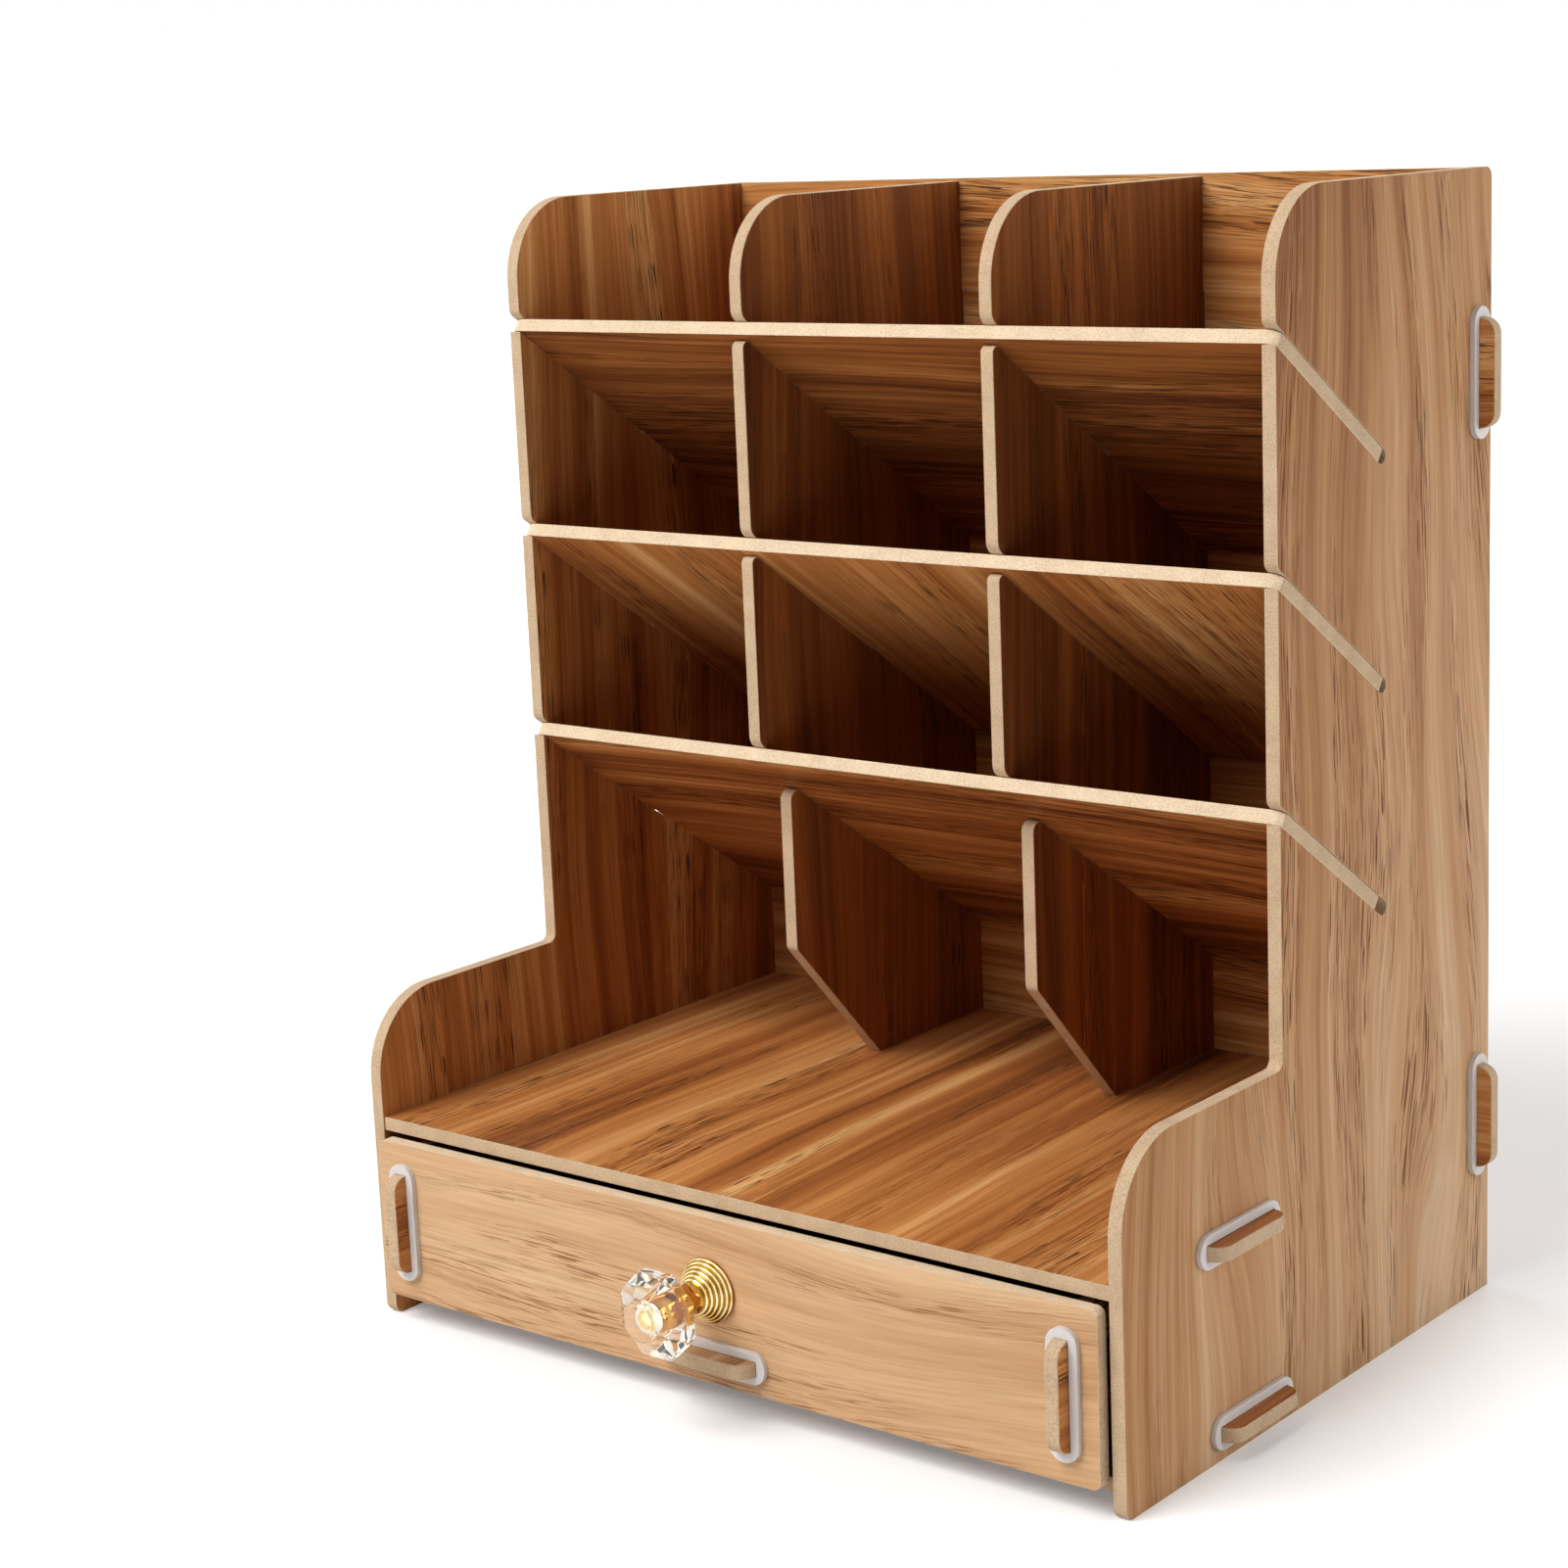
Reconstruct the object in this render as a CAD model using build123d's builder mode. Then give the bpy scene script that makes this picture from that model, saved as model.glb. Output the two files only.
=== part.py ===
"""Desktop organiser of slotted boards: slanted pen compartments over one drawer. Millimetres, +Z up."""
import math
import os

from build123d import *

os.makedirs("parts", exist_ok=True)

# Boards and joinery
board = 4.0  # thickness of every board
slot_fit = 0.1  # clearance on each side of a tab in its slot
tab_reach = 6.2  # how far a tab stands out of the board it passes through
upright_tab = 30.0  # length of the tabs that stand upright
flat_tab = 33.0  # length of the tabs that lie flat
tab_round = 4.4  # corners of every tab that stands out
ring_band = 2.6  # wall of a lock ring beside its tab
ring_end = 3.0  # wall of a lock ring at the ends of its tab
ring_height = 1.6
ring_fit = 0.1  # clearance between a lock ring and its tab

# Side panels
width = 259.2  # over the outer faces of the side panels
height = 320.0
panel_depth = 192.0
shoulder_height = 96.0  # top of the low front part
upper_setback = 76.8  # front edge of the tall part, behind the front edge of the low part
nose_radius = 23.5
step_radius = 2.5
corner_radius = 3.0

# Back panel, deck and bottom panel
back_recess = 6.1  # back face of the back panel, ahead of the side panels' back edges
deck_height = 60.7  # top face of the deck
deck_setback = 0.5
bottom_rise = 6.2  # underside of the bottom panel above the ground
bottom_setback = 2.0
side_tab_drop = 54.9  # centre of the back panel's upper tabs below the top
side_tab_low = 54.2  # centre height of its lower tabs
deck_tab_back = 52.9  # deck's side tab, centre behind the front edge
bottom_tab_back = 58.7
deck_tab_in = 54.7  # deck's back tabs, centre in from the side panels
bottom_tab_in = 60.5

# Slanted shelves
shelf_slope = 34.0  # degrees, falling towards the back
shelf_count = 3
shelf_lowest = 160.4  # underside of the lowest shelf at the upper front edge
shelf_highest_drop = 38.2  # the same point of the highest shelf below the top of the side panels
shelf_nose = 0.5  # how far the front of a shelf stands out of its slots
shelf_side_fit = 0.2
shelf_corner = 3.5  # front corners of a shelf
slot_depth = 65.0  # along the slope, from the upper front edge
slot_play = 0.2  # free height above a shelf in its slots
ear_gap = 2.7  # free slot behind an ear
lowest_ear_gap = 5.9
slot_lip_radius = 3.0  # corner of the side panel above a slot

# Dividers
side_compartment = 81.05  # clear width of the left and right compartments
divider_drop = 0.7  # top edge below the top of the side panels
divider_setback = 12.8  # front edge below the lowest shelf, behind the upper front edge
divider_bend = 101.7  # height where the front edge turns back to the deck
divider_foot = 50.7  # front end of the foot, behind the upper front edge
divider_tab_drop = 48.0  # centre of the upper tab below the top of the side panels
divider_tab_rise = 46.0  # centre of the lower tab above the deck
divider_lip_radius = 4.0  # corner above a slot
divider_tip_radius = 2.0  # corner below a slot
divider_low_radius = 3.0  # corners of the front edge below the lowest shelf

# Drawer
drawer_travel_gap = 0.5  # drawer sides above the bottom panel
drawer_top_gap = 3.5  # drawer sides below the deck
drawer_tab_shoulder = 6.6  # upper and lower edge of a drawer side past its tabs
drawer_rear_gap = 7.3  # tabs at the rear of the closed drawer, ahead of the back panel
drawer_side_gap = 8.9  # drawer sides in from the side panels
drawer_back_gap = 5.1  # ends of the drawer back in from the side panels
drawer_floor_rise = 3.6  # underside of the floor above the lower edge of the sides
front_proud = 3.6  # front face of the drawer front, ahead of the side panels
front_side_gap = 1.2
front_bottom = 8.2  # lower edge above the ground
front_top_gap = 1.3  # upper edge below the deck
front_corner = 2.5

# Knob
knob_above_middle = 3.1  # centre above the middle of the drawer front
knob_flange = 9.1  # radius against the drawer front
knob_flange_rise = 1.3  # flange, beads and neck follow each other along the knob's axis
knob_beads = 5
knob_bead_rise = 1.05
knob_bead_first = 8.4  # radius of the bead beside the flange
knob_bead_last = 5.0  # radius of the bead beside the neck
knob_neck = 4.0
knob_neck_length = 7.8
knob_stud_length = 10.0  # length of the neck's end inside the crystal
knob_stud_fit = 0.1
crystal_radius = 12.5  # over the corners
crystal_sides = 8
crystal_length = 14.0
crystal_back = 5.0  # length of the back facets along the axis
crystal_girdle = 3.0  # flat band between the front and back facets
crystal_table = 5.6  # half width of the front face
crystal_seat = 4.8  # half width of the back face
screw_radius = 1.7
screw_fit = 0.1
screw_grip = 5.0  # length of the screw inside the base
screw_head_radius = 3.4
screw_head_height = 1.8

# Derived positions
pick = 0.01  # tolerance for choosing corners by position
knob_beads_end = knob_flange_rise + knob_beads * knob_bead_rise
knob_base_length = knob_beads_end + knob_neck_length
knob_stud_end = knob_base_length + knob_stud_length
front_overhang = front_proud + knob_base_length + crystal_length
front_y = (front_overhang - panel_depth) / 2
back_edge_y = front_y + panel_depth
upper_y = front_y + upper_setback
back_y = back_edge_y - back_recess - board  # front face of the back panel
inner_width = width - 2 * board
slot_thick = board + 2 * slot_fit
tab_length = board + tab_reach
divider_x = inner_width / 2 - side_compartment - board / 2
divider_spacing = 2 * divider_x
deck_tab_out = inner_width / 2 - deck_tab_in
bottom_tab_out = inner_width / 2 - bottom_tab_in
side_tab_high = height - side_tab_drop
divider_tab_high = height - divider_tab_drop
divider_tab_low = deck_height + divider_tab_rise
shelf_pitch = (height - shelf_highest_drop - shelf_lowest) / (shelf_count - 1)
low_y = upper_y + divider_setback
foot_y = upper_y + divider_foot
divider_top = height - divider_drop
slope_cos = math.cos(math.radians(shelf_slope))
slope_sin = math.sin(math.radians(shelf_slope))
shelf_length = (back_y - upper_y - board * slope_sin) / slope_cos
shelf_slot = board + slot_play
slot_lead = 3 * shelf_slot  # run of the slot cutter ahead of the front edge
deck_mid = deck_height - board / 2
bottom_mid = bottom_rise + board / 2
drawer_front_y = front_y - front_proud
drawer_inner_y = drawer_front_y + board
drawer_back_y = back_y - drawer_rear_gap - tab_length
drawer_length = drawer_back_y - drawer_inner_y  # inside, from front board to back board
drawer_low = bottom_rise + board + drawer_travel_gap
deck_under = deck_height - board
drawer_side_height = deck_under - drawer_top_gap - drawer_low
drawer_mid = drawer_low + drawer_side_height / 2
drawer_tab = drawer_side_height - 2 * drawer_tab_shoulder
drawer_side_out = inner_width / 2 - drawer_side_gap - board / 2
drawer_back_width = inner_width - 2 * drawer_back_gap
front_height = deck_under - front_top_gap - front_bottom
front_mid = front_bottom + front_height / 2
knob_height = front_mid + knob_above_middle
floor_low = drawer_low + drawer_floor_rise
floor_mid = floor_low + board / 2
front_width = inner_width - 2 * front_side_gap
drawer_inner_width = 2 * drawer_side_out - board


def shelf_plane(level):
    """Underside of a shelf: local X across, local Y down the slope, origin on the upper front edge."""
    origin = (0, upper_y, shelf_lowest + level * shelf_pitch)
    return Plane(origin=origin, x_dir=(1, 0, 0), z_dir=(0, slope_sin, slope_cos))


def slot_centre(level):
    """Centre of the cutter for one shelf slot, as (Y, Z)."""
    run = (slot_depth - slot_lead) / 2
    centre = shelf_plane(level).from_local_coords(Vector(0, run, shelf_slot / 2))
    return (centre.Y, centre.Z)


def corners_at(outline, depth):
    """Corners at one depth of an outline that is drawn on a YZ plane, from the lowest up."""
    return outline.vertices().filter_by_position(Axis.X, depth - pick, depth + pick).sort_by(Axis.Y)


slot_centres = [slot_centre(level) for level in range(shelf_count)]
shelf_mid_low = shelf_plane(0).from_local_coords(Vector(0, divider_setback / slope_cos, board / 2))
shelf_mid_front = shelf_plane(0).from_local_coords(Vector(0, 0, board / 2))

# Left side panel: stepped outline, slots open to the front for the shelves, closed slots for tabs
with BuildPart() as side_panel_left:
    with BuildSketch(Plane.YZ.offset(-width / 2)) as side_outline:
        with BuildLine():
            Polyline(
                (front_y, 0),
                (front_y, shoulder_height),
                (upper_y, shoulder_height),
                (upper_y, height),
                (back_edge_y, height),
                (back_edge_y, 0),
                close=True,
            )
        make_face()
        fillet(side_outline.vertices().group_by(Axis.X)[0].sort_by(Axis.Y)[-1], nose_radius)
        fillet(side_outline.vertices().group_by(Axis.Y)[-1].sort_by(Axis.X)[0], nose_radius)
        fillet(side_outline.vertices().group_by(Axis.Y)[-1].sort_by(Axis.X)[-1], corner_radius)
        fillet(side_outline.vertices().group_by(Axis.Y)[0].sort_by(Axis.X)[0], corner_radius)
        fillet(corners_at(side_outline, upper_y)[0], step_radius)
        with Locations(*slot_centres):
            SlotOverall(slot_depth + slot_lead, shelf_slot, rotation=-shelf_slope, mode=Mode.SUBTRACT)
        fillet(corners_at(side_outline, upper_y)[2:-1:2], slot_lip_radius)
        with Locations((back_y + board / 2, side_tab_high), (back_y + board / 2, side_tab_low)):
            Rectangle(slot_thick, upright_tab + 2 * slot_fit, mode=Mode.SUBTRACT)
        with Locations((front_y + deck_tab_back, deck_mid), (front_y + bottom_tab_back, bottom_mid)):
            Rectangle(flat_tab + 2 * slot_fit, slot_thick, mode=Mode.SUBTRACT)
    extrude(amount=board)
side_panel_left.part.label = "side_panel_left"
export_step(side_panel_left.part, "parts/side_panel_left.step")

with BuildPart() as side_panel_right:
    mirror(side_panel_left.part, about=Plane.YZ)
side_panel_right.part.label = "side_panel_right"
export_step(side_panel_right.part, "parts/side_panel_right.step")

# Back panel between the side panels, two tabs a side, slots for the dividers, deck and bottom panel
with BuildPart() as back_panel:
    with BuildSketch(Plane.XZ.offset(-back_y - board)) as back_outline:
        Rectangle(inner_width, height, align=(Align.CENTER, Align.MIN))
        with Locations((0, side_tab_high), (0, side_tab_low)):
            Rectangle(inner_width + 2 * tab_length, upright_tab)
        fillet(back_outline.vertices().group_by(Axis.X)[0], tab_round)
        fillet(back_outline.vertices().group_by(Axis.X)[-1], tab_round)
        with Locations((0, (divider_tab_high + divider_tab_low) / 2)):
            with GridLocations(divider_spacing, divider_tab_high - divider_tab_low, 2, 2):
                Rectangle(slot_thick, upright_tab + 2 * slot_fit, mode=Mode.SUBTRACT)
        with Locations((-deck_tab_out, deck_mid), (deck_tab_out, deck_mid)):
            Rectangle(flat_tab + 2 * slot_fit, slot_thick, mode=Mode.SUBTRACT)
        with Locations((-bottom_tab_out, bottom_mid), (bottom_tab_out, bottom_mid)):
            Rectangle(flat_tab + 2 * slot_fit, slot_thick, mode=Mode.SUBTRACT)
    extrude(amount=board)
back_panel.part.label = "back_panel"
export_step(back_panel.part, "parts/back_panel.step")

# Left divider: rounded top, half-lap slots for the shelves, foot cut back to the deck, two tabs at the back
with BuildPart() as divider_left:
    with BuildSketch(Plane.YZ.offset(-divider_x - board / 2)) as divider_outline:
        with BuildLine():
            Polyline(
                (upper_y, divider_top),
                (back_y, divider_top),
                (back_y, deck_height),
                (foot_y, deck_height),
                (low_y, divider_bend),
                (low_y, shelf_mid_low.Z),
                (upper_y, shelf_mid_front.Z),
                close=True,
            )
        make_face()
        fillet(divider_outline.vertices().group_by(Axis.Y)[-1].sort_by(Axis.X)[0], nose_radius)
        with Locations(*slot_centres):
            Rectangle(slot_depth + slot_lead, shelf_slot, rotation=-shelf_slope, mode=Mode.SUBTRACT)
        fillet(corners_at(divider_outline, upper_y)[0:-1:2], divider_lip_radius)
        fillet(corners_at(divider_outline, upper_y)[1:-1:2], divider_tip_radius)
        fillet(corners_at(divider_outline, low_y)[:2], divider_low_radius)
        with Locations((back_y, divider_tab_high), (back_y, divider_tab_low)):
            Rectangle(tab_length, upright_tab, align=(Align.MIN, Align.CENTER))
        fillet(divider_outline.vertices().group_by(Axis.X)[-1], tab_round)
    extrude(amount=board)
divider_left.part.label = "divider_left"
export_step(divider_left.part, "parts/divider_left.step")

with BuildPart() as divider_right:
    mirror(divider_left.part, about=Plane.YZ)
divider_right.part.label = "divider_right"
export_step(divider_right.part, "parts/divider_right.step")

# Slanted shelves: ears fill the side panels' slots, slots from the back edge lap with the dividers
shelf_names = ["shelf_lower", "shelf_middle", "shelf_upper"]
for level, shelf_name in enumerate(shelf_names):
    free_slot = ear_gap if level else lowest_ear_gap
    with BuildPart() as shelf:
        with BuildSketch(shelf_plane(level)) as shelf_outline:
            with Locations((0, -shelf_nose)):
                Rectangle(width, slot_depth - free_slot + shelf_nose, align=(Align.CENTER, Align.MIN))
            fillet(shelf_outline.vertices().group_by(Axis.Y)[0], shelf_corner)
            Rectangle(inner_width - 2 * shelf_side_fit, shelf_length, align=(Align.CENTER, Align.MIN))
            with Locations((-divider_x, shelf_length), (divider_x, shelf_length)):
                Rectangle(
                    board + 2 * shelf_side_fit,
                    2 * (shelf_length - slot_depth + ear_gap),
                    mode=Mode.SUBTRACT,
                )
        extrude(amount=board)
    shelf.part.label = shelf_name
    export_step(shelf.part, f"parts/{shelf_name}.step")

# Deck over the drawer
with BuildPart() as deck_panel:
    with BuildSketch(Plane.XY.offset(deck_under)) as deck_outline:
        with Locations((0, front_y + deck_setback)):
            Rectangle(inner_width, back_y - front_y - deck_setback, align=(Align.CENTER, Align.MIN))
        with Locations((0, front_y + deck_tab_back)):
            Rectangle(inner_width + 2 * tab_length, flat_tab)
        with Locations((-deck_tab_out, back_y), (deck_tab_out, back_y)):
            Rectangle(flat_tab, tab_length, align=(Align.CENTER, Align.MIN))
        fillet(deck_outline.vertices().group_by(Axis.X)[0], tab_round)
        fillet(deck_outline.vertices().group_by(Axis.X)[-1], tab_round)
        fillet(deck_outline.vertices().group_by(Axis.Y)[-1], tab_round)
    extrude(amount=board)
deck_panel.part.label = "deck_panel"
export_step(deck_panel.part, "parts/deck_panel.step")

# Bottom panel that carries the drawer
with BuildPart() as bottom_panel:
    with BuildSketch(Plane.XY.offset(bottom_rise)) as bottom_outline:
        with Locations((0, front_y + bottom_setback)):
            Rectangle(inner_width, back_y - front_y - bottom_setback, align=(Align.CENTER, Align.MIN))
        with Locations((0, front_y + bottom_tab_back)):
            Rectangle(inner_width + 2 * tab_length, flat_tab)
        with Locations((-bottom_tab_out, back_y), (bottom_tab_out, back_y)):
            Rectangle(flat_tab, tab_length, align=(Align.CENTER, Align.MIN))
        fillet(bottom_outline.vertices().group_by(Axis.X)[0], tab_round)
        fillet(bottom_outline.vertices().group_by(Axis.X)[-1], tab_round)
        fillet(bottom_outline.vertices().group_by(Axis.Y)[-1], tab_round)
    extrude(amount=board)
bottom_panel.part.label = "bottom_panel"
export_step(bottom_panel.part, "parts/bottom_panel.step")

# Drawer front with slots for the tabs of the sides and floor, and the screw hole of the knob
with BuildPart() as drawer_front:
    with BuildSketch(Plane.XZ.offset(-drawer_inner_y)):
        with Locations((0, front_mid)):
            RectangleRounded(front_width, front_height, front_corner)
        with Locations((-drawer_side_out, drawer_mid), (drawer_side_out, drawer_mid)):
            Rectangle(slot_thick, drawer_tab + 2 * slot_fit, mode=Mode.SUBTRACT)
        with Locations((0, floor_mid)):
            Rectangle(flat_tab + 2 * slot_fit, slot_thick, mode=Mode.SUBTRACT)
        with Locations((0, knob_height)):
            Circle(screw_radius + screw_fit, mode=Mode.SUBTRACT)
    extrude(amount=board)
drawer_front.part.label = "drawer_front"
export_step(drawer_front.part, "parts/drawer_front.step")

# Drawer back
with BuildPart() as drawer_back:
    with BuildSketch(Plane.XZ.offset(-drawer_back_y - board)):
        with Locations((0, drawer_mid)):
            Rectangle(drawer_back_width, drawer_side_height)
        with Locations((-drawer_side_out, drawer_mid), (drawer_side_out, drawer_mid)):
            Rectangle(slot_thick, drawer_tab + 2 * slot_fit, mode=Mode.SUBTRACT)
        with Locations((0, floor_mid)):
            Rectangle(flat_tab + 2 * slot_fit, slot_thick, mode=Mode.SUBTRACT)
    extrude(amount=board)
drawer_back.part.label = "drawer_back"
export_step(drawer_back.part, "parts/drawer_back.step")

# Left drawer side with a tab at each end and a slot for the floor
with BuildPart() as drawer_side_left:
    with BuildSketch(Plane.YZ.offset(-drawer_side_out - board / 2)) as drawer_side_outline:
        with Locations((drawer_inner_y + drawer_length / 2, drawer_mid)):
            Rectangle(drawer_length, drawer_side_height)
            Rectangle(drawer_length + 2 * tab_length, drawer_tab)
        fillet(drawer_side_outline.vertices().group_by(Axis.X)[0], tab_round)
        fillet(drawer_side_outline.vertices().group_by(Axis.X)[-1], tab_round)
        with Locations((drawer_inner_y + drawer_length / 2, floor_mid)):
            Rectangle(flat_tab + 2 * slot_fit, slot_thick, mode=Mode.SUBTRACT)
    extrude(amount=board)
drawer_side_left.part.label = "drawer_side_left"
export_step(drawer_side_left.part, "parts/drawer_side_left.step")

with BuildPart() as drawer_side_right:
    mirror(drawer_side_left.part, about=Plane.YZ)
drawer_side_right.part.label = "drawer_side_right"
export_step(drawer_side_right.part, "parts/drawer_side_right.step")

# Drawer floor: long tabs through the front and back, short tabs flush with the sides
with BuildPart() as drawer_floor:
    with BuildSketch(Plane.XY.offset(floor_low)) as floor_outline:
        with Locations((0, drawer_inner_y + drawer_length / 2)):
            Rectangle(drawer_inner_width, drawer_length)
            Rectangle(drawer_inner_width + 2 * board, flat_tab)
            Rectangle(flat_tab, drawer_length + 2 * tab_length)
        fillet(floor_outline.vertices().group_by(Axis.Y)[0], tab_round)
        fillet(floor_outline.vertices().group_by(Axis.Y)[-1], tab_round)
    extrude(amount=board)
drawer_floor.part.label = "drawer_floor"
export_step(drawer_floor.part, "parts/drawer_floor.step")

# Lock rings: an oval band pushed over each tab against the board that the tab passes through
up = (0, 0, 1)
across = (1, 0, 0)
along = (0, 1, 0)
left = (-1, 0, 0)
front = (0, -1, 0)
half = width / 2
panel_mid_y = back_y + board / 2
deck_tab_y = front_y + deck_tab_back
bottom_tab_y = front_y + bottom_tab_back
rear_y = back_y + board
drawer_rear_y = drawer_back_y + board
upright_rings = {
    "ring_left_upper": Plane((-half, panel_mid_y, side_tab_high), up, left),
    "ring_left_lower": Plane((-half, panel_mid_y, side_tab_low), up, left),
    "ring_right_upper": Plane((half, panel_mid_y, side_tab_high), up, across),
    "ring_right_lower": Plane((half, panel_mid_y, side_tab_low), up, across),
    "ring_back_upper_left": Plane((-divider_x, rear_y, divider_tab_high), up, along),
    "ring_back_upper_right": Plane((divider_x, rear_y, divider_tab_high), up, along),
    "ring_back_lower_left": Plane((-divider_x, rear_y, divider_tab_low), up, along),
    "ring_back_lower_right": Plane((divider_x, rear_y, divider_tab_low), up, along),
}
drawer_rings = {
    "ring_drawer_left": Plane((-drawer_side_out, drawer_front_y, drawer_mid), up, front),
    "ring_drawer_right": Plane((drawer_side_out, drawer_front_y, drawer_mid), up, front),
    "ring_drawer_rear_left": Plane((-drawer_side_out, drawer_rear_y, drawer_mid), up, along),
    "ring_drawer_rear_right": Plane((drawer_side_out, drawer_rear_y, drawer_mid), up, along),
}
flat_rings = {
    "ring_left_deck": Plane((-half, deck_tab_y, deck_mid), along, left),
    "ring_left_bottom": Plane((-half, bottom_tab_y, bottom_mid), along, left),
    "ring_right_deck": Plane((half, deck_tab_y, deck_mid), along, across),
    "ring_right_bottom": Plane((half, bottom_tab_y, bottom_mid), along, across),
    "ring_back_deck_left": Plane((-deck_tab_out, rear_y, deck_mid), across, along),
    "ring_back_deck_right": Plane((deck_tab_out, rear_y, deck_mid), across, along),
    "ring_back_bottom_left": Plane((-bottom_tab_out, rear_y, bottom_mid), across, along),
    "ring_back_bottom_right": Plane((bottom_tab_out, rear_y, bottom_mid), across, along),
    "ring_drawer_floor": Plane((0, drawer_front_y, floor_mid), across, front),
    "ring_drawer_rear_floor": Plane((0, drawer_rear_y, floor_mid), across, along),
}
ring_sets = [(upright_tab, upright_rings), (drawer_tab, drawer_rings), (flat_tab, flat_rings)]
for tab, ring_planes in ring_sets:
    for ring_name, ring_plane in ring_planes.items():
        with BuildPart() as lock_ring:
            with BuildSketch(ring_plane):
                SlotOverall(tab + 2 * ring_end, board + 2 * ring_band)
                Rectangle(tab + 2 * ring_fit, board + 2 * ring_fit, mode=Mode.SUBTRACT)
            extrude(amount=ring_height)
        lock_ring.part.label = ring_name
        export_step(lock_ring.part, f"parts/{ring_name}.step")

# Knob base: flange, beads that narrow to the neck, and a stud for the crystal, bored for the screw
bead_radii = [
    knob_bead_first - (knob_bead_first - knob_bead_last) * bead / (knob_beads - 1)
    for bead in range(knob_beads)
]
bead_profile = []
for bead, bead_radius in enumerate(bead_radii):
    bead_start = knob_flange_rise + bead * knob_bead_rise
    bead_profile.append((bead_start, bead_radius))
    bead_profile.append((bead_start + knob_bead_rise, bead_radius))
knob_plane = Plane(origin=(0, drawer_front_y, knob_height), x_dir=(0, -1, 0), z_dir=(-1, 0, 0))
with BuildPart() as knob_base:
    with BuildSketch(knob_plane):
        with BuildLine():
            Polyline(
                (0, 0),
                (0, knob_flange),
                (knob_flange_rise, knob_flange),
                *bead_profile,
                (knob_beads_end, knob_neck),
                (knob_stud_end, knob_neck),
                (knob_stud_end, 0),
                close=True,
            )
        make_face()
    revolve(axis=Axis(knob_plane.origin, knob_plane.x_dir))
    with BuildSketch(Plane.XZ.offset(-drawer_front_y)):
        with Locations((0, knob_height)):
            Circle(screw_radius + screw_fit)
    extrude(amount=screw_grip + screw_fit, mode=Mode.SUBTRACT)
knob_base.part.label = "knob_base"
export_step(knob_base.part, "parts/knob_base.step")

# Knob crystal: facets from the seat out to a girdle and in to the front table, blind bore for the stud
crystal_flat = crystal_radius * math.cos(math.pi / crystal_sides)
crystal_front = crystal_length - crystal_back - crystal_girdle
with BuildPart() as knob_crystal:
    with BuildSketch(Plane.XZ.offset(knob_base_length - drawer_front_y)):
        with Locations((0, knob_height)):
            RegularPolygon(crystal_radius, crystal_sides, rotation=180 / crystal_sides)
    extrude(amount=crystal_length)
    table_face = knob_crystal.faces().sort_by(Axis.Y)[0]
    chamfer(table_face.edges(), crystal_flat - crystal_table, crystal_front, reference=table_face)
    seat_face = knob_crystal.faces().sort_by(Axis.Y)[-1]
    chamfer(seat_face.edges(), crystal_flat - crystal_seat, crystal_back, reference=seat_face)
    with BuildSketch(Plane.XZ.offset(knob_base_length - drawer_front_y)):
        with Locations((0, knob_height)):
            Circle(knob_neck + knob_stud_fit)
    extrude(amount=knob_stud_length, mode=Mode.SUBTRACT)
knob_crystal.part.label = "knob_crystal"
export_step(knob_crystal.part, "parts/knob_crystal.step")

# Knob screw from inside the drawer
with BuildPart() as knob_screw:
    with BuildSketch(Plane.XZ.offset(-drawer_inner_y - screw_head_height)):
        with Locations((0, knob_height)):
            Circle(screw_head_radius)
    extrude(amount=screw_head_height)
    with BuildSketch(Plane.XZ.offset(-drawer_inner_y)):
        with Locations((0, knob_height)):
            Circle(screw_radius)
    extrude(amount=board + screw_grip)
knob_screw.part.label = "knob_screw"
export_step(knob_screw.part, "parts/knob_screw.step")
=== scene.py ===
import math
from collections import namedtuple

import bmesh
import bpy
from mathutils import Matrix, Vector


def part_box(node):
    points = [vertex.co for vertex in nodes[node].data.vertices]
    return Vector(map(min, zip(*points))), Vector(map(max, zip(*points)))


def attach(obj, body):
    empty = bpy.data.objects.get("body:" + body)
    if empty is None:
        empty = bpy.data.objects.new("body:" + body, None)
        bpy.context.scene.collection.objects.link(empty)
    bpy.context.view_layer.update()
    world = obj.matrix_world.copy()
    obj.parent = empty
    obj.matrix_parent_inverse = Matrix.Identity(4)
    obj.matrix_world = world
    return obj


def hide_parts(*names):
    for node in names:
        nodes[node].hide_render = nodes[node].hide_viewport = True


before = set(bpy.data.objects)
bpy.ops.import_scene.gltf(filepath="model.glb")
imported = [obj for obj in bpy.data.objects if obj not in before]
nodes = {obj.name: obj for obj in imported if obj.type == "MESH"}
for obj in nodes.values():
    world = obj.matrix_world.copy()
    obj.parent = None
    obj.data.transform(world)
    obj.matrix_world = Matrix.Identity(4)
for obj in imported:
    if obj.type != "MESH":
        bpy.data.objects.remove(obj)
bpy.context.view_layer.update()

X_AXIS = Vector((1.0, 0.0, 0.0))
Y_AXIS = Vector((0.0, 1.0, 0.0))
Z_AXIS = Vector((0.0, 0.0, 1.0))


def linear(red, green, blue):
    """A colour written as 0 to 255 screen values, as Blender's linear RGBA."""
    parts = []
    for value in (red, green, blue):
        share = value / 255.0
        low = share <= 0.04045
        parts.append(share / 12.92 if low else ((share + 0.055) / 1.055) ** 2.4)
    return (*parts, 1.0)


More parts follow.
